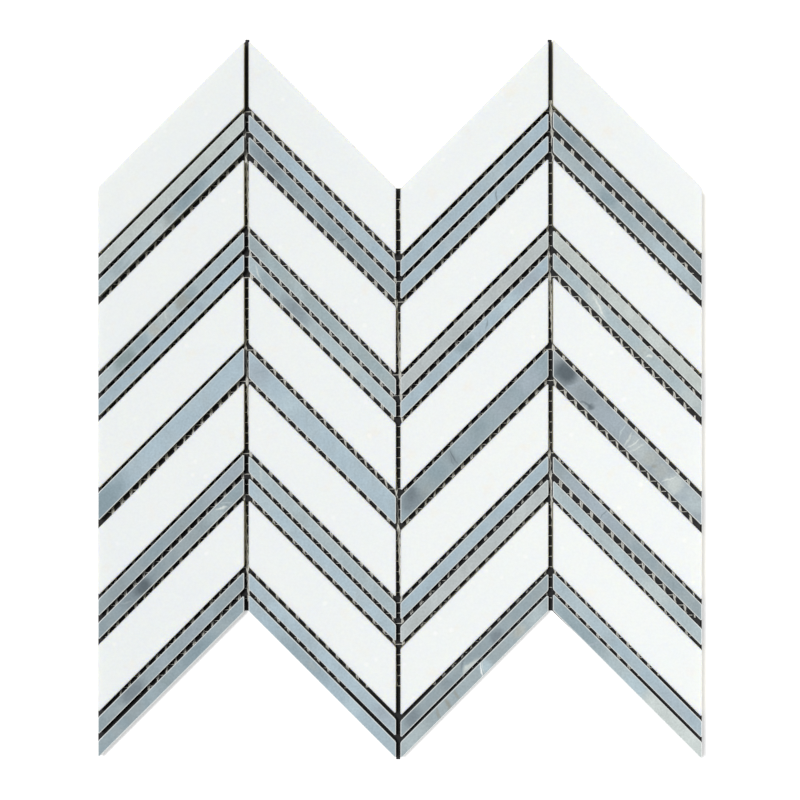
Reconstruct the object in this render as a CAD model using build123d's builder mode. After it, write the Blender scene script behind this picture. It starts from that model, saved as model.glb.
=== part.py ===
# A mosaic sheet for a wall or floor: white marble bars and narrow grey marble strips,
# laid in slanted columns that meet as chevrons, on a fibreglass mesh.
# X runs across the columns, Y up along them, Z up from the back of the mesh. Millimetres.
import os
from math import cos, floor, radians, tan

from build123d import *

os.makedirs("parts", exist_ok=True)

# Columns, from the left: the width that the bars of each are cut to, and how far it slipped upwards
column_widths = [73.2, 73.8, 74.1, 74.7]
column_slip = [0.2, 0.2, 0.1, 0.8]
column_joint = 2.3
slant = 45

# Stones, with the width of a bar measured across its length
white_width = 23.7
thin_width = 6.0
wide_width = 9.9
stone_thickness = 9.4
tip_nip = 0.9
corner_nip = 0.5
arris = 0.4

# Joints between the bars, as laid by hand
tight = 1.5
even = 1.9
loose = 2.3
slack = 2.7
joints = [
    [tight, even, slack, even, even, even, tight, slack, tight, loose, even, even, loose],
    [loose, even, loose, even, even, even, loose, even, even, even, even, even, even],
    [even, even, loose, even, loose, even, even, loose, even, loose, even, even, tight],
    [even, slack, loose, tight, even, slack, even, slack, tight, slack, tight, tight, tight],
]

# The bars of a column, from the top
order = [
    "white", "thin", "thin", "white", "thin", "thin", "white",
    "wide", "white", "thin", "thin", "white", "thin", "thin",
]
width_of = {"white": white_width, "thin": thin_width, "wide": wide_width}

# Mesh: flat weft threads across the sheet, with warp threads on them, laid a little askew
mesh_height = 294
mesh_shift = 2.2
mesh_inset = 2.5
weft_pitch = 5.22
weft_width = 0.6
weft_turn = 2.1
warp_pitch = 4.85
warp_width = 1.0
warp_shift = 0.4
warp_turn = 2.9
thread_thickness = 0.3

# Derived sizes
rise = tan(radians(slant))
columns = len(column_widths)
sheet_width = sum(column_widths) + (columns - 1) * column_joint
column_lefts = [sum(column_widths[:c]) + c * column_joint - sheet_width / 2 for c in range(columns)]
stone_base = 2 * thread_thickness
column_height = (sum(width_of[kind] for kind in order) + sum(joints[0])) / cos(radians(slant))


def slanted(left, width, y, height, lean):
    """The outline of a bar whose top edge passes y at the middle of its column."""
    right = left + width
    fall = lean * rise * width / 2
    with BuildLine() as edge:
        Polyline(
            (left, y - fall),
            (right, y + fall),
            (right, y + fall - height),
            (left, y - fall - height),
            close=True,
        )
    return edge.line


# Stones
for column in range(columns):
    lean = 1 if column % 2 == 0 else -1
    top = column_height / 2 + column_slip[column % len(column_slip)]
    gaps = [*joints[column % len(joints)], 0]
    for place, kind in enumerate(order):
        height = width_of[kind] / cos(radians(slant))
        with BuildPart() as bar:
            with BuildSketch(Plane.XY.offset(stone_base)) as face:
                add(slanted(column_lefts[column], column_widths[column], top, height, lean))
                make_face()
                corners = face.vertices().sort_by(Axis.Y)
                chamfer(corners[1:-1], corner_nip)
                corners = face.vertices().sort_by(Axis.Y)
                chamfer([corners[0], corners[-1]], tip_nip)
            extrude(amount=stone_thickness)
            chamfer(bar.faces().sort_by(Axis.Z)[-1].edges(), arris)
        bar.part.label = f"column{column + 1}_bar{place + 1:02d}_{kind}"
        export_step(bar.part, f"parts/{bar.part.label}.step")
        top -= height + gaps[place] / cos(radians(slant))

# The outline of the mesh, trimmed behind the zigzag ends and cut along a weft thread across the points
corner = column_height / 2 - mesh_inset
swing = rise * (sheet_width + column_joint) / columns / 2
joint_middles = [left - column_joint / 2 for left in column_lefts[1:]]
ends = [-sheet_width / 2, *joint_middles, sheet_width / 2]
upper = [(x, corner + (swing if step % 2 else -swing)) for step, x in enumerate(ends)]
lower = [(x, -corner + (swing if step % 2 else -swing)) for step, x in enumerate(ends)]
with BuildSketch() as cloth:
    with BuildLine():
        Polyline(*upper, *reversed(lower), close=True)
    make_face()
    Rectangle(sheet_width - 2 * mesh_inset, 2 * column_height, mode=Mode.INTERSECT)
    with Locations((0, mesh_shift)):
        Rectangle(2 * sheet_width, mesh_height, rotation=weft_turn, mode=Mode.INTERSECT)

# Weft threads, across the sheet
rows = floor((mesh_height - weft_width) / weft_pitch) + 1
with BuildPart() as weft:
    with BuildSketch():
        with Locations(Location((0, mesh_shift, 0), (0, 0, weft_turn))):
            with GridLocations(0, weft_pitch, 1, rows):
                Rectangle(2 * sheet_width, weft_width)
        add(cloth.sketch, mode=Mode.INTERSECT)
    extrude(amount=thread_thickness)
weft.part.label = "mesh_weft"
export_step(weft.part, "parts/mesh_weft.step")

# Warp threads, along the columns
warp_reach = sheet_width / 2 + tan(radians(warp_turn)) * column_height / 2
warps = 2 * floor(warp_reach / warp_pitch) + 1
with BuildPart() as warp:
    with BuildSketch(Plane.XY.offset(thread_thickness)):
        with Locations(Location((warp_shift, 0, 0), (0, 0, warp_turn))):
            with GridLocations(warp_pitch, 0, warps, 1):
                Rectangle(warp_width, 2 * column_height)
        add(cloth.sketch, mode=Mode.INTERSECT)
    extrude(amount=thread_thickness)
warp.part.label = "mesh_warp"
export_step(warp.part, "parts/mesh_warp.step")
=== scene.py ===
import math

import bpy
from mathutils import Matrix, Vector


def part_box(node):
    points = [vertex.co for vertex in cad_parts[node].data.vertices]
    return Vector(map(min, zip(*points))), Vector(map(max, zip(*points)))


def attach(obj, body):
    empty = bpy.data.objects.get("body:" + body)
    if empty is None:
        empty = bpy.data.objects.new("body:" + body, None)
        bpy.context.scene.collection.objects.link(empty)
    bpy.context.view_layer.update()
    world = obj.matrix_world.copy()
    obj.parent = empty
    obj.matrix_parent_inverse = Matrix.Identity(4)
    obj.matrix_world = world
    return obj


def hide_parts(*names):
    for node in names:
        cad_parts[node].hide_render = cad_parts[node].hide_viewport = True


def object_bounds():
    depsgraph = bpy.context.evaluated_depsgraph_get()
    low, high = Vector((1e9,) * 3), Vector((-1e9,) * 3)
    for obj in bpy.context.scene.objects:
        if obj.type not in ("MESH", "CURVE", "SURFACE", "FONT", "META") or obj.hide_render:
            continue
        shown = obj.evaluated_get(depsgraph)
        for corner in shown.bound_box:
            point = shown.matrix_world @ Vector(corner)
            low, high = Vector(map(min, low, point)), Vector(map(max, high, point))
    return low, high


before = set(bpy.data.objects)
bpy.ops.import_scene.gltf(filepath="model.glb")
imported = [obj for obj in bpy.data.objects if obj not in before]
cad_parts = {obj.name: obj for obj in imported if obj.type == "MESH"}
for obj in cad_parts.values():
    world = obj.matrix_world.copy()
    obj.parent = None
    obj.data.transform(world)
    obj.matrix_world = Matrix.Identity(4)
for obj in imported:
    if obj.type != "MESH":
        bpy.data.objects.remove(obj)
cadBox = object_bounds()
print("frame loaded:", len(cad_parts), "nodes")


def linear(code):
    # sRGB hex to the linear colour that sockets take
    parts = [int(code[i:i + 2], 16) / 255 for i in (1, 3, 5)]
    return [c / 12.92 if c <= 0.04045 else ((c + 0.055) / 1.055) ** 2.4 for c in parts] + [1.0]


def addNode(tree, kind, links=None, **settings):
    # links takes another node's socket, or a plain value for the socket
    node = tree.nodes.new(kind)
    for name, value in settings.items():
        setattr(node, name, value)
    for key, source in (links or {}).items():
        if isinstance(source, bpy.types.NodeSocket):
            tree.links.new(source, node.inputs[key])
        else:
            node.inputs[key].default_value = source
    return node


def perMm(size):
    # texture scale for a pattern of this size in millimetres, on coordinates in metres
    return 1000.0 / size


def newMaterial(name):
    material = bpy.data.materials.new(name)
    material.use_nodes = True
    material.node_tree.nodes.clear()
    return material


def newObject(name, mesh):
    piece = bpy.data.objects.new(name, mesh)
    bpy.context.scene.collection.objects.link(piece)
    return piece


# Stones
noiseSpan = {"From Min": 0.3, "From Max": 0.7}  # where most of a noise texture's values lie
stoneSettings = {
    "slant": 45,
    "polish": 0.06,
    "sawn": 0.6,
    "arrisDull": 0.4,  # of the way from polished to sawn
    "ior": 1.5,
    "arrisUp": (0.707, 0.2),  # upward part of an arris's normal, and how far off it may be
    "sideUp": 0.4,  # the sides and the back lie below this
    "backUp": -0.5,
    "sawLine": 0.7,  # mm between the saw's lines on the sides
    "sawRun": 0.1,  # scale along the lines
    "sawDepth": 0.0002,
    "sawRelief": 0.5,
    "glueDab": 9,  # mm across a dab of glue on the back
    "glueEdge": (0.5, 0.56),
    "glueAmount": 0.8,
    "glueTone": "#d8d5c4",
    "soakDepth": 0.003,  # how far light spreads inside the stone
    "soakTint": (1.0, 0.9, 0.6),
}
whiteSettings = {
    "cool": "#edf2f5",
    "warm": "#f1f5f3",
    "driftSize": 30,  # sizes in mm
    "stain": "#f1efe8",
    "stainSize": 10,
    "stainEdge": (0.62, 0.8),
    "stainAmount": 0.7,
    "crystal": "#fafcfb",
    "crystalPitch": 11,
    "crystalEdge": (0.14, 0.05),
    "crystalAmount": 0.6,
    "grainSize": 1.4,
    "grainAmount": 0.015,
    # the arris tone is partly the ground chamfer's paler tone, partly a painted highlight along the edges
    "arris": "#f3f5f2",
    "arrisPaleAndHighlight": 0.6,
    "side": "#dcd7b8",
    "sideDark": "#c8c3a4",
    "soak": 0.6,
}
greySettings = {
    "warmDrift": "#b4b5ae",
    "warmEdge": (0.45, 0.75),
    "warmAmount": 0.25,
    "cloudSize": 13,  # sizes in mm
    "cloudAmount": 0.07,
    "grainSize": 1.1,
    "grainAmount": 0.08,
    "streakSize": 4,
    "streakAmount": 0.04,
    "streakTurn": 20,  # of the bedding that the streaks follow, from the columns
    "streakRun": 0.2,  # scale along the streaks
    "warpSize": 6,
    "warp": 0.004,  # how far the edges of a mark wander, in metres
    "crackSize": 7,
    "crackWidth": 0.025,
    "crackAmount": 0.5,
    "crackTone": "#8a8d88",
    # the arris tone is partly the ground chamfer's paler tone, partly a painted highlight along the edges
    "arris": "#f4f8f8",
    "arrisPaleAndHighlight": 0.85,
    "side": "#7f8484",
    "sideDark": "#676c6d",
    "soak": 0.0,
}
greyTones = {
    "ice": "#a5b8c3",
    "brightIce": "#abbec9",
    "mist": "#9cadb2",
    "haze": "#a3b2b8",
    "slate": "#93a2a9",
    "bluestone": "#95a6ae",
    "lilac": "#9da9b1",
    "sage": "#bcc5c3",
    "pearl": "#b4bcbe",
    "pale": "#a9b9bf",
    "fog": "#9dacb2",
}
# The strips of each column from the top, by the slab that they were sawn from
stripTones = {
    1: "sage pale pale ice brightIce slate slate slate bluestone",
    2: "ice bluestone mist pale brightIce pale brightIce brightIce ice",
    3: "ice ice pearl ice bluestone ice pearl slate fog",
    4: "slate haze sage pale lilac slate pale ice pale",
}
markTones = {
    "soot": "#5c676e",
    "smoke": "#7b878f",
    "ash": "#889ba4",
    "moss": "#88989a",
    "dove": "#9ba7ac",
    "heather": "#a0adb7",
    "sand": "#b0b6b3",
    "tan": "#969a95",
    "milk": "#b5c3c7",
    "frost": "#b4c7d0",
    "porcelain": "#c4cdcc",
    "chalk": "#d7dedb",
    "snow": "#eef3f3",
}
# How far out a mark starts and is whole, in shares of its half sizes
markEdges = {"cloud": (1.2, 0.3), "vein": (1.2, 0.3), "crackle": (1.2, 0.3), "patch": (1.05, 0.8)}
# Marks in the grey stone, along and across each strip from its middle, in mm:
# kind, middle, half sizes, turn from the strip's length, tone, strength
stripMarks = {
    "column1_bar03": [
        ("cloud", (13, 0), (17, 5), 0, "ash", 0.9),
        ("cloud", (-36, 0), (6, 4), 0, "ash", 0.45),
        ("vein", (-30, 0.5), (12, 1), 4, "milk", 0.5),
        ("cloud", (-17, 0), (8, 4), 0, "milk", 0.5),
        ("crackle", (-8, 0), (6, 5), 0, "porcelain", 0.6),
        ("cloud", (-1, 0), (5, 4), 0, "tan", 0.45),
    ],
    "column1_bar05": [
        ("cloud", (-32, 0), (9, 5), 0, "moss", 1.0),
        ("cloud", (-21, 0), (5, 5), 0, "ash", 0.6),
        ("cloud", (-12, 0), (4, 6), 0, "sand", 0.95),
        ("crackle", (-4, 0), (6, 5), 0, "sand", 0.6),
        ("vein", (-3, 0), (3, 0.6), 60, "porcelain", 0.8),
        ("cloud", (8, 0), (6, 5), 0, "tan", 0.8),
        ("cloud", (14, 0), (5, 4), 0, "ash", 0.5),
    ],
    "column1_bar06": [
        ("vein", (-28, 0), (6, 0.6), -22, "sand", 0.5),
        ("cloud", (20, 0), (3, 3), 0, "heather", 0.6),
    ],
    "column1_bar08": [("cloud", (-48, 0), (19, 10), 0, "ash", 0.95)],
    "column1_bar10": [
        ("cloud", (-12, 0), (8, 5), 0, "ash", 0.65),
        ("cloud", (38, 0), (17, 5), 0, "heather", 0.85),
    ],
    "column1_bar11": [
        ("cloud", (-24, 0), (15, 6), 0, "smoke", 0.6),
        ("cloud", (-20.5, 0), (6, 5), 0, "soot", 0.95),
        ("vein", (-31, 0.3), (3.4, 0.6), -38, "dove", 0.8),
        ("cloud", (10, 0), (12, 5), 0, "dove", 0.6),
        ("cloud", (31, 0), (7, 4), 0, "milk", 0.55),
        ("vein", (35.5, 0.3), (4, 0.7), -34, "chalk", 0.8),
        ("vein", (39.5, 0.3), (3.5, 0.4), -34, "milk", 0.7),
        ("cloud", (45, 0), (4, 5), 0, "ash", 0.5),
    ],
    "column1_bar13": [
        ("cloud", (-27, 0), (10, 5), 0, "smoke", 0.95),
        ("cloud", (-6, 0), (6, 5), 0, "heather", 0.5),
        ("cloud", (17, 0), (13, 5), 0, "heather", 0.6),
    ],
    "column1_bar14": [
        ("cloud", (20, 0), (13, 5), 0, "ash", 0.95),
        ("cloud", (-38, 0), (5, 3), 60, "dove", 0.7),
        ("cloud", (-22, 0), (5, 3), 60, "dove", 0.5),
        ("cloud", (-3, 0), (4, 3), 60, "moss", 0.4),
    ],
    "column2_bar02": [("cloud", (-46, 0), (8, 5), 0, "heather", 0.6)],
    "column2_bar03": [
        ("cloud", (-40, 0), (13, 6), 0, "smoke", 0.65),
        ("cloud", (-15, 0), (10, 5), 0, "dove", 0.4),
        ("vein", (14.6, 0), (3.5, 0.5), 63, "smoke", 0.6),
        ("cloud", (42, 0), (9, 5), 0, "dove", 0.5),
    ],
    "column2_bar05": [
        ("cloud", (-17, 0), (8, 3), -15, "milk", 0.4),
        ("cloud", (20, 0), (9, 4), 0, "milk", 0.35),
        ("cloud", (-46, 0), (7, 5), 0, "dove", 0.6),
    ],
    "column2_bar06": [
        ("cloud", (-38, 0), (9, 5), 0, "ash", 0.5),
        ("cloud", (-19, 0), (12, 5), 0, "smoke", 0.75),
        ("cloud", (22, 0), (5, 4), 0, "porcelain", 0.4),
        ("vein", (-46, 0), (4, 0.4), -25, "chalk", 0.5),
        ("vein", (-43, -0.8), (5, 0.35), -20, "chalk", 0.45),
    ],
    "column2_bar08": [
        ("cloud", (-46, 0), (8, 9), 0, "heather", 0.7),
        ("cloud", (-22, 0), (7, 6), 0, "frost", 0.7),
        ("vein", (-45, 1), (4, 0.5), 65, "ash", 0.4),
    ],
    "column2_bar10": [("vein", (-44, 0), (4, 0.8), -30, "porcelain", 0.5)],
    "column2_bar11": [("cloud", (-40, 0), (9, 5), 0, "milk", 0.3)],
    "column2_bar13": [("cloud", (44, 0), (9, 5), 0, "heather", 0.85)],
    "column2_bar14": [
        ("cloud", (-14, 0), (22, 6), 0, "ash", 0.5),
        ("cloud", (-7, 0.5), (4, 2), 0, "sand", 0.35),
        ("cloud", (21, 0), (6, 5), 0, "frost", 0.6),
    ],
    "column3_bar02": [("cloud", (14, 0), (9, 5), 0, "milk", 0.4)],
    "column3_bar03": [("vein", (15.5, 0), (3.5, 0.6), 45, "smoke", 0.75)],
    "column3_bar05": [("cloud", (-15, 0), (15, 4), 0, "dove", 0.25)],
    "column3_bar06": [
        ("cloud", (-6, 0), (6, 4), 0, "ash", 0.75),
        ("cloud", (3, 0), (5, 4), 0, "heather", 0.4),
        ("cloud", (24, 0), (7, 4), 0, "frost", 0.6),
        ("cloud", (39, 0), (9, 5), 0, "heather", 0.85),
        ("vein", (8.7, 0), (3.5, 0.6), 36, "smoke", 0.7),
    ],
    "column3_bar08": [
        ("cloud", (-45, 0), (9, 8), 0, "smoke", 0.9),
        ("cloud", (-43, 2), (5, 3), 30, "soot", 0.4),
        ("cloud", (-36, -2), (5, 3), 0, "tan", 0.2),
        ("cloud", (-25, 1), (6, 5), 0, "ash", 0.5),
        ("cloud", (-15.5, 0), (4, 7), 0, "smoke", 0.45),
        ("vein", (-14.5, 0.5), (5.5, 0.6), 75, "soot", 0.6),
        ("vein", (-16.5, 0), (4.5, 0.4), 68, "smoke", 0.8),
        ("cloud", (-6, 1), (5, 5), 0, "heather", 0.4),
        ("cloud", (4, 0), (5, 6), 0, "ash", 0.35),
        ("cloud", (21, 0), (9, 6), 0, "heather", 0.6),
        ("cloud", (39, 0), (9, 7), 0, "heather", 0.9),
    ],
    "column3_bar13": [
        ("cloud", (-44, 0), (6, 4), 0, "smoke", 0.85),
        ("cloud", (-20, 0), (4, 4), 0, "smoke", 0.5),
        ("vein", (-7, 1), (4, 0.8), 27, "smoke", 0.8),
        ("cloud", (-5, -2.2), (6, 1.8), 0, "porcelain", 1.0),
        ("cloud", (14.5, -0.5), (5, 4), 0, "smoke", 0.95),
    ],
    "column3_bar14": [
        ("cloud", (-44, 0), (12, 5), 0, "milk", 0.6),
        ("vein", (-26, 0), (3.5, 1), 72, "tan", 0.7),
        ("vein", (-19, 0), (3.5, 1.6), 72, "tan", 0.9),
        ("vein", (-12.5, 0), (3.5, 1), 72, "tan", 0.7),
        ("cloud", (8, 0), (4, 4), 0, "frost", 0.8),
        ("vein", (5, 0), (5, 0.5), 50, "snow", 1.0),
        ("vein", (6.6, 0), (4.5, 0.3), 50, "chalk", 0.6),
        ("cloud", (20, 0), (4, 4), 0, "dove", 0.6),
        ("cloud", (32, 0.5), (5, 3), 0, "sand", 0.9),
        ("cloud", (32, 1), (3, 1.5), 60, "tan", 0.4),
        ("cloud", (43, 0), (8, 4), 0, "milk", 0.5),
    ],
    "column4_bar02": [
        ("cloud", (-44, 0), (12, 5), 0, "ash", 0.6),
        ("cloud", (-17, 0), (10, 5), 0, "heather", 0.6),
        ("cloud", (22, 0), (4, 4), 0, "ash", 0.4),
    ],
    "column4_bar03": [
        ("cloud", (-14, 0), (7, 4), 0, "ash", 0.85),
        ("cloud", (1, 0), (10, 4), 0, "ash", 0.35),
        ("cloud", (29, 0), (17, 5), 0, "frost", 0.6),
    ],
    "column4_bar05": [
        ("cloud", (-36, 0), (17, 6), 0, "sand", 0.35),
        ("cloud", (12, 0), (20, 6), 0, "porcelain", 0.5),
    ],
    "column4_bar06": [
        ("cloud", (-23, 0), (10, 3.5), -15, "porcelain", 0.65),
        ("vein", (-20, 0), (7.5, 0.8), -15, "chalk", 0.95),
        ("cloud", (12, 0), (5, 4), 0, "sand", 0.6),
        ("vein", (15.5, 0.3), (2.4, 0.5), 67, "chalk", 0.8),
        ("cloud", (45, 0), (8, 5), 0, "porcelain", 0.6),
    ],
    "column4_bar08": [
        ("cloud", (-45, 1), (8, 8), 20, "soot", 1.0),
        ("cloud", (-29, 0), (7, 6), 0, "smoke", 0.5),
        ("vein", (-37, 0), (5, 1.1), 59, "heather", 0.75),
        ("vein", (-26.5, -3), (4, 0.8), 22, "soot", 0.7),
        ("cloud", (-23.5, -2), (2.4, 1.8), 30, "soot", 0.75),
        ("cloud", (-12, 0), (10, 6), 0, "heather", 0.6),
        ("cloud", (8, 0), (9, 6), 0, "porcelain", 0.5),
        ("vein", (-4, 0), (5, 0.5), -72, "milk", 0.8),
        ("vein", (0.5, 0), (5, 0.7), -69, "porcelain", 0.9),
        ("vein", (4.5, 0), (5, 0.5), 78, "chalk", 0.7),
        ("vein", (7.5, 0), (5, 0.6), 72, "porcelain", 0.9),
        ("cloud", (16, 1), (6, 4), 55, "sand", 0.7),
        ("cloud", (19.5, -0.5), (1.8, 1.1), 40, "tan", 0.9),
        ("cloud", (24, 0), (5, 5), 0, "sand", 0.6),
        ("cloud", (33, 0), (5.5, 6), -15, "porcelain", 0.9),
        ("vein", (29.5, 0), (5, 0.5), 68, "chalk", 0.6),
        ("cloud", (44, 0), (7, 6), 0, "milk", 0.6),
        ("cloud", (42, -1), (4, 2.5), 30, "heather", 0.6),
        ("cloud", (50, 1), (4, 5), 0, "milk", 0.6),
    ],
    "column4_bar10": [
        ("cloud", (-22, 0), (27, 6), 0, "heather", 0.85),
        ("vein", (-17.5, 0), (3.6, 0.4), -82, "smoke", 0.7),
    ],
    "column4_bar11": [
        ("cloud", (20, 0), (12, 5), 0, "porcelain", 0.45),
        ("vein", (-14, 0), (10, 0.8), 6, "milk", 0.4),
    ],
    "column4_bar13": [
        ("cloud", (-36, 0), (14, 5), 0, "milk", 0.35),
        ("cloud", (33, 0), (16, 5), 0, "heather", 0.5),
    ],
    "column4_bar14": [
        ("cloud", (-36, 0), (24, 7), 0, "ash", 0.75),
        ("vein", (-23, 0), (4.5, 0.8), 60, "heather", 0.7),
        ("cloud", (6, 0), (10, 6), 0, "frost", 0.8),
        ("patch", (40, 0), (29, 30), 0, "porcelain", 0.95),
    ],
}


def finishStone(tree, where, face, looks):
    # Polished top; an arris mixed toward a pale tone all round, partly the ground chamfer's own paler tone
    # and partly a painted highlight along the edges; dull sawn sides and back with dabs of glue
    cut = stoneSettings
    normal = addNode(tree, "ShaderNodeNewGeometry").outputs["Normal"]
    up = addNode(tree, "ShaderNodeSeparateXYZ", {0: normal}).outputs["Z"]
    arris = addNode(tree, "ShaderNodeMath", {
        0: up, 1: cut["arrisUp"][0], 2: cut["arrisUp"][1]}, operation="COMPARE").outputs[0]
    sides = addNode(tree, "ShaderNodeMath", {0: up, 1: cut["sideUp"]}, operation="LESS_THAN").outputs[0]
    back = addNode(tree, "ShaderNodeMath", {0: up, 1: cut["backUp"]}, operation="LESS_THAN").outputs[0]
    stretched = addNode(tree, "ShaderNodeMapping", {
        "Vector": where, "Scale": (cut["sawRun"], cut["sawRun"], 1)}).outputs[0]
    lines = addNode(tree, "ShaderNodeTexNoise", {
        "Vector": stretched, "Scale": perMm(cut["sawLine"]), "Detail": 3}).outputs["Fac"]
    dabs = addNode(tree, "ShaderNodeTexNoise", {
        "Vector": where, "Scale": perMm(cut["glueDab"]), "Detail": 2}).outputs["Fac"]
    dabs = addNode(tree, "ShaderNodeMapRange", {
        "Value": dabs, "From Min": cut["glueEdge"][0], "From Max": cut["glueEdge"][1],
        "To Max": cut["glueAmount"]}).outputs["Result"]
    glued = addNode(tree, "ShaderNodeMath", {0: dabs, 1: back}, operation="MULTIPLY").outputs[0]
    # the sides' tones are darker and yellower than the polished face
    sawn = addNode(tree, "ShaderNodeMix", {
        "Factor": lines, 6: linear(looks["sideDark"]), 7: linear(looks["side"])}, data_type="RGBA").outputs[2]
    sawn = addNode(tree, "ShaderNodeMix", {
        "Factor": glued, 6: sawn, 7: linear(cut["glueTone"])}, data_type="RGBA").outputs[2]
    # painted highlight: every arris takes the pale tone, partly its ground finish, partly a painted highlight
    # along the edges
    paleArrisAndHighlight = addNode(tree, "ShaderNodeMath", {
        0: arris, 1: looks["arrisPaleAndHighlight"]}, operation="MULTIPLY").outputs[0]
    faceWithArrisHighlight = addNode(tree, "ShaderNodeMix", {
        "Factor": paleArrisAndHighlight, 6: face, 7: linear(looks["arris"])}, data_type="RGBA").outputs[2]
    colour = addNode(tree, "ShaderNodeMix", {
        "Factor": sides, 6: faceWithArrisHighlight, 7: sawn}, data_type="RGBA").outputs[2]
    dull = addNode(tree, "ShaderNodeMath", {
        0: arris, 1: cut["arrisDull"], 2: sides}, operation="MULTIPLY_ADD").outputs[0]
    rough = addNode(tree, "ShaderNodeMapRange", {
        "Value": dull, "To Min": cut["polish"], "To Max": cut["sawn"]}).outputs["Result"]
    relief = addNode(tree, "ShaderNodeMath", {0: lines, 1: sides}, operation="MULTIPLY").outputs[0]
    bump = addNode(tree, "ShaderNodeBump", {
        "Height": relief, "Strength": cut["sawRelief"], "Distance": cut["sawDepth"]}).outputs[0]
    shader = addNode(tree, "ShaderNodeBsdfPrincipled", {
        "Base Color": colour, "Roughness": rough, "Normal": bump, "IOR": cut["ior"],
        "Subsurface Weight": looks["soak"], "Subsurface Scale": cut["soakDepth"],
        "Subsurface Radius": cut["soakTint"]})
    addNode(tree, "ShaderNodeOutputMaterial", {"Surface": shader.outputs[0]})


def whiteMarble():
    # White crystalline marble, polished: almost even, with faint cool and warm drifts,
    # a few pale crystals and a fine grain
    looks = whiteSettings
    material = newMaterial("whiteMarblePolished")
    tree = material.node_tree
    where = addNode(tree, "ShaderNodeTexCoord").outputs["Object"]
    drift = addNode(tree, "ShaderNodeTexNoise", {
        "Vector": where, "Scale": perMm(looks["driftSize"]), "Detail": 3}).outputs["Fac"]
    face = addNode(tree, "ShaderNodeMix", {
        "Factor": drift, 6: linear(looks["cool"]), 7: linear(looks["warm"])}, data_type="RGBA").outputs[2]
    stains = addNode(tree, "ShaderNodeTexNoise", {
        "Vector": where, "Scale": perMm(looks["stainSize"]), "Detail": 2, "Roughness": 0.4}).outputs["Fac"]
    stains = addNode(tree, "ShaderNodeMapRange", {
        "Value": stains, "From Min": looks["stainEdge"][0], "From Max": looks["stainEdge"][1],
        "To Max": looks["stainAmount"]}).outputs["Result"]
    face = addNode(tree, "ShaderNodeMix", {
        "Factor": stains, 6: face, 7: linear(looks["stain"])}, data_type="RGBA").outputs[2]
    crystals = addNode(tree, "ShaderNodeTexVoronoi", {
        "Vector": where, "Scale": perMm(looks["crystalPitch"])}).outputs["Distance"]
    crystals = addNode(tree, "ShaderNodeMapRange", {
        "Value": crystals, "From Min": looks["crystalEdge"][0], "From Max": looks["crystalEdge"][1],
        "To Max": looks["crystalAmount"]}).outputs["Result"]
    face = addNode(tree, "ShaderNodeMix", {
        "Factor": crystals, 6: face, 7: linear(looks["crystal"])}, data_type="RGBA").outputs[2]
    grain = addNode(tree, "ShaderNodeTexNoise", {
        "Vector": where, "Scale": perMm(looks["grainSize"]), "Detail": 2}).outputs["Fac"]
    grain = addNode(tree, "ShaderNodeMapRange", {
        "Value": grain, **noiseSpan, "To Min": 1 - looks["grainAmount"],
        "To Max": 1 + looks["grainAmount"]}).outputs["Result"]
    face = addNode(tree, "ShaderNodeVectorMath", {0: face, "Scale": grain}, operation="SCALE").outputs[0]
    finishStone(tree, where, face, looks)
    return material


def crackLines(tree, bend, looks):
    # thin lines where the noise passes its middle
    cracks = addNode(tree, "ShaderNodeTexNoise", {
        "Vector": bend, "Scale": perMm(looks["crackSize"]), "Detail": 3}).outputs["Fac"]
    cracks = addNode(tree, "ShaderNodeMath", {0: cracks, 1: 0.5}, operation="SUBTRACT").outputs[0]
    cracks = addNode(tree, "ShaderNodeMath", {0: cracks}, operation="ABSOLUTE").outputs[0]
    return addNode(tree, "ShaderNodeMapRange", {
        "Value": cracks, "From Min": looks["crackWidth"], "From Max": 0.0,
        "To Max": looks["crackAmount"]}).outputs["Result"]


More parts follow.
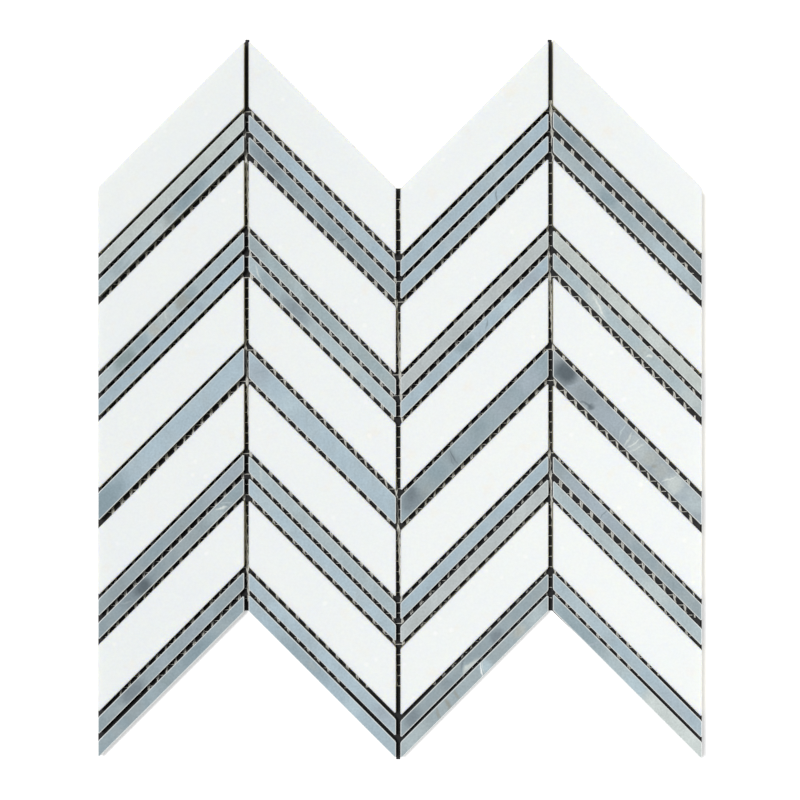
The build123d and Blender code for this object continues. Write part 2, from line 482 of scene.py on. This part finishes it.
def greyMarble(name, tone, seed, marks, middle, lean):
    # Blue-grey marble, sawn into strips and polished: soft clouds, its own marks and veins,
    # and a fine crystal grain
    looks = greySettings
    material = newMaterial(name)
    tree = material.node_tree
    where = addNode(tree, "ShaderNodeTexCoord").outputs["Object"]
    clouds = addNode(tree, "ShaderNodeTexNoise", {
        "Vector": where, "W": seed, "Scale": perMm(looks["cloudSize"]), "Detail": 4, "Distortion": 0.4},
        noise_dimensions="4D").outputs
    warmth = addNode(tree, "ShaderNodeSeparateColor", {0: clouds["Color"]}).outputs[1]
    warmth = addNode(tree, "ShaderNodeMapRange", {
        "Value": warmth, "From Min": looks["warmEdge"][0], "From Max": looks["warmEdge"][1],
        "To Max": looks["warmAmount"]}).outputs["Result"]
    face = addNode(tree, "ShaderNodeMix", {
        "Factor": warmth, 6: linear(greyTones[tone]), 7: linear(looks["warmDrift"])},
        data_type="RGBA").outputs[2]
    bend = addNode(tree, "ShaderNodeTexNoise", {
        "Vector": where, "Scale": perMm(looks["warpSize"]), "Detail": 3}).outputs["Color"]
    bend = addNode(tree, "ShaderNodeVectorMath", {
        0: bend, 1: (0.5, 0.5, 0.5)}, operation="SUBTRACT").outputs[0]
    bend = addNode(tree, "ShaderNodeVectorMath", {
        0: bend, 1: [looks["warp"]] * 3, 2: where}, operation="MULTIPLY_ADD").outputs[0]
    slant = math.radians(stoneSettings["slant"] * lean)
    along = Vector((math.cos(slant), math.sin(slant), 0))
    across = Vector((-math.sin(slant), math.cos(slant), 0))
    for kind, place, halves, turn, mark, strength in marks:
        spot = middle + (along * place[0] + across * place[1]) / 1000
        local = addNode(tree, "ShaderNodeMapping", {
            "Vector": bend, "Location": (spot.x, spot.y, 0), "Rotation": (0, 0, slant + math.radians(turn)),
            "Scale": (halves[0] / 1000, halves[1] / 1000, 1)}, vector_type="TEXTURE").outputs[0]
        away = addNode(tree, "ShaderNodeVectorMath", {0: local}, operation="LENGTH").outputs["Value"]
        rim, core = markEdges[kind]
        mask = addNode(tree, "ShaderNodeMapRange", {
            "Value": away, "From Min": rim, "From Max": core, "To Max": strength},
            interpolation_type="SMOOTHSTEP").outputs["Result"]
        face = addNode(tree, "ShaderNodeMix", {
            "Factor": mask, 6: face, 7: linear(markTones[mark])}, data_type="RGBA").outputs[2]
        if kind == "crackle":
            cracks = addNode(tree, "ShaderNodeMath", {
                0: crackLines(tree, bend, looks), 1: mask}, operation="MULTIPLY").outputs[0]
            face = addNode(tree, "ShaderNodeMix", {
                "Factor": cracks, 6: face, 7: linear(looks["crackTone"])}, data_type="RGBA").outputs[2]
    shade = addNode(tree, "ShaderNodeMapRange", {
        "Value": clouds["Fac"], **noiseSpan, "To Min": 1 - looks["cloudAmount"],
        "To Max": 1 + looks["cloudAmount"]}).outputs["Result"]
    grain = addNode(tree, "ShaderNodeTexNoise", {
        "Vector": where, "Scale": perMm(looks["grainSize"]), "Detail": 2}).outputs["Fac"]
    grain = addNode(tree, "ShaderNodeMapRange", {
        "Value": grain, **noiseSpan, "To Min": 1 - looks["grainAmount"],
        "To Max": 1 + looks["grainAmount"]}).outputs["Result"]
    bedding = addNode(tree, "ShaderNodeMapping", {
        "Vector": bend, "Rotation": (0, 0, math.radians(looks["streakTurn"])),
        "Scale": (1, looks["streakRun"], 1)}).outputs[0]
    streaks = addNode(tree, "ShaderNodeTexNoise", {
        "Vector": bedding, "W": seed, "Scale": perMm(looks["streakSize"]), "Detail": 3},
        noise_dimensions="4D").outputs["Fac"]
    streaks = addNode(tree, "ShaderNodeMapRange", {
        "Value": streaks, **noiseSpan, "To Min": 1 - looks["streakAmount"],
        "To Max": 1 + looks["streakAmount"]}).outputs["Result"]
    shade = addNode(tree, "ShaderNodeMath", {0: shade, 1: grain}, operation="MULTIPLY").outputs[0]
    shade = addNode(tree, "ShaderNodeMath", {0: shade, 1: streaks}, operation="MULTIPLY").outputs[0]
    face = addNode(tree, "ShaderNodeVectorMath", {0: face, "Scale": shade}, operation="SCALE").outputs[0]
    finishStone(tree, where, face, looks)
    return material


white = whiteMarble()
for column in stripTones:
    tones = iter(stripTones[column].split())
    lean = 1 if column % 2 else -1
    for node in sorted(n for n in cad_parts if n.startswith(f"column{column}_")):
        place, kind = node.rsplit("_", 1)
        if kind == "white":
            material = white
        else:
            seed = column * 10 + int(place[-2:]) * 0.7
            low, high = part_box(node)
            middle = (Vector(low) + Vector(high)) / 2
            material = greyMarble(
                f"greyMarble_{place}", next(tones), seed, stripMarks.get(place, []), middle, lean)
        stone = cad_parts[node]
        stone.data.materials.clear()
        stone.data.materials.append(material)
print("stones dressed")

# Scrim: leno cloth of coated glass fibre, with two yarns to each thread, laid a little askew.
# The warp's two yarns cross each other between the weft threads, and hold them.
scrimSettings = {
    "pile": 0.0006,  # room under the stones
    "height": 0.294,
    "shift": 0.0022,  # of the cloth's middle, up the sheet
    "inset": 0.0025,  # behind the zigzag ends and the sides
    "weft": {  # its yarns lie side by side, so the twist is longer than the sheet
        "pitch": 0.00522, "turn": 2.1, "points": 91, "yarnWidth": 0.0002, "yarnThickness": 0.0002,
        "spread": 0.00008, "twist": 1000.0, "lift": 0.0, "sway": 0.0002, "seed": 3.0},
    "warp": {
        "pitch": 0.00485, "turn": 2.9, "shift": 0.0004, "pointsPerTwist": 4, "yarnWidth": 0.001,
        "yarnThickness": 0.00018, "spread": 0.0004, "lift": 0.0002, "sway": 0.0004, "seed": 8.0},
    "weftReach": 1.05,  # of half the sheet's width, before the edge is cut
    "warpSpare": 2,  # twists past the cloth, before the edge is cut
    "bend": (0.1, -0.05, 0),  # drawn right and down towards both sides, per metre
    "swayLength": 110,  # mm
    "swayNoise": (0.25, 0.75),
    "yarnSides": 4,
    "high": "#f8f7f0",
    "low": "#e6e5dc",
    "fuzz": 2.5,  # mm
    "fuzzEdge": (0.35, 0.65),
    "rough": (0.6, 0.4),
    "ior": 1.5,
}


def glassFibre():
    # Glass yarn in a dull white coating: slightly streaky, half gloss
    look = scrimSettings
    material = newMaterial("coatedGlassFibre")
    tree = material.node_tree
    where = addNode(tree, "ShaderNodeTexCoord").outputs["Object"]
    fuzz = addNode(tree, "ShaderNodeTexNoise", {
        "Vector": where, "Scale": perMm(look["fuzz"]), "Detail": 4, "Roughness": 0.6}).outputs["Fac"]
    fuzz = addNode(tree, "ShaderNodeMapRange", {
        "Value": fuzz, "From Min": look["fuzzEdge"][0], "From Max": look["fuzzEdge"][1]}).outputs["Result"]
    colour = addNode(tree, "ShaderNodeMix", {
        "Factor": fuzz, 6: linear(look["low"]), 7: linear(look["high"])}, data_type="RGBA").outputs[2]
    rough = addNode(tree, "ShaderNodeMapRange", {
        "Value": fuzz, "To Min": look["rough"][0], "To Max": look["rough"][1]}).outputs["Result"]
    shader = addNode(tree, "ShaderNodeBsdfPrincipled", {
        "Base Color": colour, "Roughness": rough, "IOR": look["ior"]})
    addNode(tree, "ShaderNodeOutputMaterial", {"Surface": shader.outputs[0]})
    return material


def twistYarns(tree, sizes, threads, where, spot):
    # two yarns to each thread: they cross at each twist, sway with their neighbours and follow the bend
    acrossDir = addNode(tree, "ShaderNodeVectorMath", {0: sizes["Across"]}, operation="NORMALIZE").outputs[0]
    step = addNode(tree, "ShaderNodeVectorMath", {0: sizes["Along"]}, operation="LENGTH").outputs["Value"]
    number = addNode(tree, "GeometryNodeInputIndex").outputs[0]
    number = addNode(tree, "ShaderNodeMath", {0: number, 1: sizes["Points"]}, operation="MODULO").outputs[0]
    run = addNode(tree, "ShaderNodeMath", {0: number, 1: step}, operation="MULTIPLY").outputs[0]
    turns = addNode(tree, "ShaderNodeMath", {0: run, 1: sizes["Twist"]}, operation="DIVIDE").outputs[0]
    swing = addNode(tree, "ShaderNodeMath", {0: turns, 1: math.pi}, operation="MULTIPLY").outputs[0]
    swing = addNode(tree, "ShaderNodeMath", {0: swing}, operation="COSINE").outputs[0]
    swing = addNode(tree, "ShaderNodeMath", {0: swing, 1: sizes["Spread"]}, operation="MULTIPLY").outputs[0]
    rise = addNode(tree, "ShaderNodeMath", {0: turns, 1: 2 * math.pi}, operation="MULTIPLY").outputs[0]
    rise = addNode(tree, "ShaderNodeMath", {0: rise}, operation="COSINE").outputs[0]
    rise = addNode(tree, "ShaderNodeMath", {0: rise, 1: sizes["Lift"]}, operation="MULTIPLY").outputs[0]
    drift = addNode(tree, "ShaderNodeTexNoise", {
        "Vector": where, "W": sizes["Seed"], "Scale": sizes["Sway Scale"], "Detail": 1},
        noise_dimensions="4D").outputs["Fac"]
    low, high = scrimSettings["swayNoise"]
    drift = addNode(tree, "ShaderNodeMapRange", {
        "Value": drift, "From Min": low, "From Max": high, "To Min": -1, "To Max": 1}).outputs["Result"]
    drift = addNode(tree, "ShaderNodeMath", {0: drift, 1: sizes["Sway"]}, operation="MULTIPLY").outputs[0]
    away = addNode(tree, "ShaderNodeMath", {0: spot["X"], 1: spot["X"]}, operation="MULTIPLY").outputs[0]
    bend = addNode(tree, "ShaderNodeVectorMath", {
        0: sizes["Bend"], "Scale": away}, operation="SCALE").outputs[0]
    yarns = addNode(tree, "GeometryNodeJoinGeometry")
    for side in (1, -1):
        sideways = addNode(tree, "ShaderNodeMath", {
            0: swing, 1: side, 2: drift}, operation="MULTIPLY_ADD").outputs[0]
        shift = addNode(tree, "ShaderNodeVectorMath", {
            0: acrossDir, "Scale": sideways}, operation="SCALE").outputs[0]
        height = addNode(tree, "ShaderNodeMath", {0: rise, 1: side}, operation="MULTIPLY").outputs[0]
        height = addNode(tree, "ShaderNodeCombineXYZ", {"Z": height}).outputs[0]
        offset = addNode(tree, "ShaderNodeVectorMath", {0: shift, 1: height}, operation="ADD").outputs[0]
        offset = addNode(tree, "ShaderNodeVectorMath", {0: offset, 1: bend}, operation="ADD").outputs[0]
        moved = addNode(tree, "GeometryNodeSetPosition", {"Geometry": threads, "Offset": offset})
        tree.links.new(moved.outputs[0], yarns.inputs[0])
    return yarns.outputs[0]


def pastEdge(tree, sizes, spot):
    # the cloth's cut edge: straight at the sides and across the points, zigzag between them
    wide = addNode(tree, "ShaderNodeMath", {0: spot["X"]}, operation="ABSOLUTE").outputs[0]
    wide = addNode(tree, "ShaderNodeMath", {0: wide, 1: sizes["Edge"]}, operation="SUBTRACT").outputs[0]
    tall = addNode(tree, "ShaderNodeMath", {
        0: spot["X"], 1: sizes["Slope"], 2: sizes["Shift"]}, operation="MULTIPLY_ADD").outputs[0]
    tall = addNode(tree, "ShaderNodeMath", {0: spot["Y"], 1: tall}, operation="SUBTRACT").outputs[0]
    tall = addNode(tree, "ShaderNodeMath", {0: tall}, operation="ABSOLUTE").outputs[0]
    tall = addNode(tree, "ShaderNodeMath", {0: tall, 1: sizes["Height"]}, operation="SUBTRACT").outputs[0]
    wave = addNode(tree, "ShaderNodeMath", {
        0: spot["X"], 1: sizes["Valley"]}, operation="SUBTRACT").outputs[0]
    wave = addNode(tree, "ShaderNodeMath", {0: wave, 1: sizes["Zigzag"]}, operation="PINGPONG").outputs[0]
    wave = addNode(tree, "ShaderNodeMath", {
        0: sizes["Zigzag"], 1: -0.5, 2: wave}, operation="MULTIPLY_ADD").outputs[0]
    ends = addNode(tree, "ShaderNodeMath", {0: spot["Y"], 1: wave}, operation="SUBTRACT").outputs[0]
    ends = addNode(tree, "ShaderNodeMath", {0: ends}, operation="ABSOLUTE").outputs[0]
    ends = addNode(tree, "ShaderNodeMath", {0: ends, 1: sizes["Corner"]}, operation="SUBTRACT").outputs[0]
    over = addNode(tree, "ShaderNodeMath", {0: wide, 1: tall}, operation="MAXIMUM").outputs[0]
    over = addNode(tree, "ShaderNodeMath", {0: over, 1: ends}, operation="MAXIMUM").outputs[0]
    return addNode(tree, "FunctionNodeCompare", {0: over, 1: 0.0}, operation="GREATER_THAN").outputs[0]


def threadTree(material):
    # rows of straight threads, made into pairs of yarns, cut to the cloth's outline and given their section
    tree = bpy.data.node_groups.new("scrimThreads", "GeometryNodeTree")
    tree.interface.new_socket("Geometry", in_out="OUTPUT", socket_type="NodeSocketGeometry")
    for name in ("First", "Along", "Across", "Bend"):
        tree.interface.new_socket(name, in_out="INPUT", socket_type="NodeSocketVector")
    for name in ("Points", "Threads"):
        tree.interface.new_socket(name, in_out="INPUT", socket_type="NodeSocketInt")
    for name in ("Yarn Width", "Yarn Thickness", "Spread", "Twist", "Lift", "Sway", "Seed", "Sway Scale",
                 "Edge", "Height", "Shift", "Slope", "Corner", "Valley", "Zigzag"):
        tree.interface.new_socket(name, in_out="INPUT", socket_type="NodeSocketFloat")
    sizes = addNode(tree, "NodeGroupInput").outputs
    line = addNode(tree, "GeometryNodeMeshLine", {
        "Count": sizes["Points"], "Start Location": sizes["First"], "Offset": sizes["Along"]})
    places = addNode(tree, "GeometryNodeMeshLine", {"Count": sizes["Threads"], "Offset": sizes["Across"]})
    copies = addNode(tree, "GeometryNodeInstanceOnPoints", {
        "Points": places.outputs[0], "Instance": line.outputs[0]})
    threads = addNode(tree, "GeometryNodeRealizeInstances", {0: copies.outputs[0]}).outputs[0]
    where = addNode(tree, "GeometryNodeInputPosition").outputs[0]
    spot = addNode(tree, "ShaderNodeSeparateXYZ", {0: where}).outputs
    trimmed = addNode(tree, "GeometryNodeDeleteGeometry", {
        "Geometry": twistYarns(tree, sizes, threads, where, spot), "Selection": pastEdge(tree, sizes, spot)})
    paths = addNode(tree, "GeometryNodeMeshToCurve", {"Mesh": trimmed.outputs[0]})
    paths = addNode(tree, "GeometryNodeSetCurveNormal", {"Curve": paths.outputs[0]}, mode="Z_UP")
    ring = addNode(tree, "GeometryNodeCurvePrimitiveCircle", {
        "Resolution": scrimSettings["yarnSides"], "Radius": 0.5})
    flat = addNode(tree, "ShaderNodeCombineXYZ", {
        "X": sizes["Yarn Width"], "Y": sizes["Yarn Thickness"], "Z": 1.0})
    ring = addNode(tree, "GeometryNodeTransform", {"Geometry": ring.outputs[0], "Scale": flat.outputs[0]})
    body = addNode(tree, "GeometryNodeCurveToMesh", {
        "Curve": paths.outputs[0], "Profile Curve": ring.outputs[0], "Fill Caps": True})
    body = addNode(tree, "GeometryNodeSetShadeSmooth", {"Geometry": body.outputs[0], "Shade Smooth": True})
    body = addNode(tree, "GeometryNodeRealizeInstances", {0: body.outputs[0]})
    body = addNode(tree, "GeometryNodeSetMaterial", {"Geometry": body.outputs[0], "Material": material})
    addNode(tree, "NodeGroupOutput", {0: body.outputs[0]})
    return tree


def weave(name, tree, values):
    piece = newObject(name, bpy.data.meshes.new(name))
    modifier = piece.modifiers.new(name, "NODES")
    modifier.node_group = tree
    for item in tree.interface.items_tree:
        if item.in_out == "INPUT":
            modifier[item.identifier] = values[item.name]
    evaluated = piece.evaluated_get(bpy.context.evaluated_depsgraph_get())
    piece.data = bpy.data.meshes.new_from_object(evaluated)
    piece.modifiers.clear()
    print(name, len(piece.data.polygons), "faces")
    return piece


columnBoxes = [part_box(f"column{column}_bar01_white") for column in stripTones]
lastBoxes = [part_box(f"column{column}_bar14_thin") for column in stripTones]
columns = len(columnBoxes)
jointMiddles = [(a[1][0] + b[0][0]) / 2 for a, b in zip(columnBoxes, columnBoxes[1:])]
sheetEdge = columnBoxes[-1][1][0]
zigzag = (jointMiddles[2] - jointMiddles[0]) / 2
tallest = sum(top[1][1] - bottom[0][1] for top, bottom in zip(columnBoxes, lastBoxes)) / columns
weftLook, warpLook = scrimSettings["weft"], scrimSettings["warp"]
weftTurn, warpTurn = math.radians(weftLook["turn"]), math.radians(warpLook["turn"])
alongWeft = Vector((math.cos(weftTurn), math.sin(weftTurn), 0))
upWeft = Vector((-math.sin(weftTurn), math.cos(weftTurn), 0))
alongWarp = Vector((-math.sin(warpTurn), math.cos(warpTurn), 0))
outline = {
    "Edge": sheetEdge - scrimSettings["inset"],
    "Height": scrimSettings["height"] / 2,
    "Shift": scrimSettings["shift"],
    "Slope": math.tan(weftTurn),
    "Corner": (tallest - zigzag) / 2 - scrimSettings["inset"],
    "Valley": jointMiddles[1],
    "Zigzag": zigzag,
    "Sway Scale": perMm(scrimSettings["swayLength"]),
    "Bend": scrimSettings["bend"],
}
clothMiddle = Vector((0, scrimSettings["shift"], scrimSettings["pile"] / 2))
rowsUp = int(scrimSettings["height"] / 2 / weftLook["pitch"])
weftRun = alongWeft * scrimSettings["weftReach"] * sheetEdge
weftAcross = upWeft * weftLook["pitch"]
twist = weftLook["pitch"] / math.cos(warpTurn - weftTurn)
twistsUp = rowsUp + scrimSettings["warpSpare"]
warpsOut = int((sheetEdge + tallest / 2 * math.tan(warpTurn)) / warpLook["pitch"])
warpFoot = clothMiddle + Vector((warpLook["shift"], 0, 0)) - alongWarp * twist * twistsUp
warpAcross = alongWeft * warpLook["pitch"] / math.cos(warpTurn - weftTurn)
threads = threadTree(glassFibre())


def yarnSizes(look):
    return {
        "Yarn Width": look["yarnWidth"], "Yarn Thickness": look["yarnThickness"], "Spread": look["spread"],
        "Lift": look["lift"], "Sway": look["sway"], "Seed": look["seed"], **outline}


weft = weave("scrimWeft", threads, {
    **yarnSizes(weftLook),
    "First": clothMiddle - weftRun - weftAcross * rowsUp,
    "Along": weftRun * 2 / (weftLook["points"] - 1),
    "Across": weftAcross,
    "Points": weftLook["points"],
    "Threads": 2 * rowsUp + 1,
    "Twist": weftLook["twist"],
})
warp = weave("scrimWarp", threads, {
    **yarnSizes(warpLook),
    "First": warpFoot - warpAcross * warpsOut,
    "Along": alongWarp * twist / warpLook["pointsPerTwist"],
    "Across": warpAcross,
    "Points": 2 * twistsUp * warpLook["pointsPerTwist"] + 1,
    "Threads": 2 * warpsOut + 1,
    "Twist": twist,
})
for piece, node in ((weft, "mesh_weft"), (warp, "mesh_warp")):
    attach(piece, "root")
    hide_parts(node)
print("scrim woven")

# Stage: a pale floor, with a black card under the sheet that shows through its joints, painted shade that
# makes the joints read black
stageSettings = {
    "rough": 0.9,
    "floorSize": 8.0,
    "floorTone": "#f4f4f4",
    "floorGlow": 0.42,
    # how dark the painted shade in the joints is
    "cardTone": "#39393a",
    "cardLevel": 0.00004,
    "cardOut": 0.0009,  # past the straight sides and the stones' points, hidden by the stones
    "cardNotch": 0.0024,  # up the notches between the points
    "cardJoint": 0.00125,  # half the width of its flat ends in the joints
    "tabHalf": 0.00105,  # half the width of the tabs there, which reach as far as the points
    "tabReach": 0.0012,
    "flagOut": 0.00005,  # from the sheet's side
    "flagTop": 0.017,
    "flagTrim": 0.0016,  # short of the side's ends
}


def stagePiece(name, points, faces, tone, glow=0.0):
    mesh = bpy.data.meshes.new(name)
    mesh.from_pydata(points, [], faces)
    material = newMaterial(name)
    shader = addNode(material.node_tree, "ShaderNodeBsdfPrincipled", {
        "Base Color": linear(tone), "Roughness": stageSettings["rough"], "Specular IOR Level": 0.0,
        "Emission Color": (1, 1, 1, 1), "Emission Strength": glow})
    addNode(material.node_tree, "ShaderNodeOutputMaterial", {"Surface": shader.outputs[0]})
    mesh.materials.append(material)
    piece = newObject(name, mesh)
    return piece


half = stageSettings["floorSize"] / 2
corners = [(-half, -half, 0), (half, -half, 0), (half, half, 0), (-half, half, 0)]
floor = stagePiece("floor", corners, [(0, 1, 2, 3)], stageSettings["floorTone"], stageSettings["floorGlow"])

past, level = stageSettings["cardOut"], stageSettings["cardLevel"]
peak = sum(top[1][1] for top in columnBoxes) / columns + past
foot = sum(bottom[0][1] for bottom in lastBoxes) / columns - past
upperNotch = peak - zigzag + stageSettings["cardNotch"]
lowerNotch = foot + zigzag - stageSettings["cardNotch"]
edges = [(-sheetEdge - past, upperNotch, foot + past)]
for i, x in enumerate(jointMiddles):
    top, bottom = (upperNotch, foot) if i % 2 else (peak, lowerNotch)
    edges += [(x - stageSettings["cardJoint"], top, bottom), (x + stageSettings["cardJoint"], top, bottom)]
edges += [(sheetEdge + past, upperNotch, foot + past)]
count = len(edges)
points = [(x, top, level) for x, top, bottom in edges] + [(x, bottom, level) for x, top, bottom in edges]
quads = [(i + count, i + count + 1, i + 1, i) for i in range(count - 1)]
for i, x in enumerate(jointMiddles):
    end, reach = (foot, -stageSettings["tabReach"]) if i % 2 else (peak, stageSettings["tabReach"])
    left, right = x - stageSettings["tabHalf"], x + stageSettings["tabHalf"]
    quads.append(tuple(range(len(points), len(points) + 4)))
    points += [(left, end, level), (right, end, level)]
    points += [(right, end + reach, level), (left, end + reach, level)]
# the black card is painted shade: a dark sheet under the joints, where the pale floor would show
stagePiece("blackCard", points, quads, stageSettings["cardTone"])

# A flag along the sheet's right side, unseen, which closes the joints' ends in the shadow on the floor
flagSide, flagTop = sheetEdge + stageSettings["flagOut"], stageSettings["flagTop"]
flagFoot, flagHead = foot + stageSettings["flagTrim"], upperNotch - stageSettings["flagTrim"]
flagEnds = ((flagFoot, 0), (flagHead, 0), (flagHead, flagTop), (flagFoot, flagTop))
flag = stagePiece("flag", [(flagSide, y, z) for y, z in flagEnds], [(0, 1, 2, 3)], stageSettings["floorTone"])
for rays in ("camera", "diffuse", "glossy", "transmission"):
    setattr(flag, f"visible_{rays}", False)

# Light: a key from the left and a fill from the right that leave no glare on the polish, and an even sky.
# The fill leaves the floor out, and passes the flag.
lightSettings = {
    "sky": 0.3,
    "key": {"from": (150, 79.5), "distance": 12.0, "size": 2.1, "power": 919.0, "tone": "#ffffff"},
    "fill": {"from": (-20, 48), "distance": 0.7, "size": 0.4, "power": 0.85, "tone": "#fff8ec"},
}
world = bpy.data.worlds.new("studio")
bpy.context.scene.world = world
world.use_nodes = True
world.node_tree.nodes.clear()
sky = addNode(world.node_tree, "ShaderNodeBackground", {
    "Color": (1, 1, 1, 1), "Strength": lightSettings["sky"]})
addNode(world.node_tree, "ShaderNodeOutputWorld", {"Surface": sky.outputs[0]})
for name in ("key", "fill"):
    look = lightSettings[name]
    lamp = bpy.data.lights.new(name, "AREA")
    lamp.shape = "DISK"
    lamp.size = look["size"]
    lamp.energy = look["power"]
    lamp.color = linear(look["tone"])[:3]
    azimuth, elevation = (math.radians(angle) for angle in look["from"])
    flat = math.cos(elevation)
    towards = Vector((flat * math.cos(azimuth), flat * math.sin(azimuth), math.sin(elevation)))
    light = bpy.data.objects.new(name, lamp)
    bpy.context.scene.collection.objects.link(light)
    light.location = towards * look["distance"]
    light.rotation_euler = (-towards).to_track_quat("-Z", "Y").to_euler()
    light.visible_camera = False
    light.visible_glossy = False
    if name == "fill":
        for role, piece in (("receiver", floor), ("blocker", flag)):
            leftOut = bpy.data.collections.new(f"{role}LeftOut")
            leftOut.objects.link(piece)
            leftOut.collection_objects[0].light_linking.link_state = "EXCLUDE"
            setattr(light.light_linking, f"{role}_collection", leftOut)

# Camera straight above, with the frame that wide at the stones' faces
cameraSettings = {"height": 1.4, "frameWidth": 0.4008, "clipEnd": 50}
lens = bpy.data.cameras.new("camera")
lens.lens = lens.sensor_width * cameraSettings["height"] / cameraSettings["frameWidth"]
lens.clip_end = cameraSettings["clipEnd"]
camera = bpy.data.objects.new("camera", lens)
camera.location = (0, 0, cameraSettings["height"] + cadBox[1][2])
bpy.context.scene.collection.objects.link(camera)
bpy.context.scene.camera = camera
bpy.context.scene.view_settings.view_transform = "Standard"
print("stage, light and camera set")
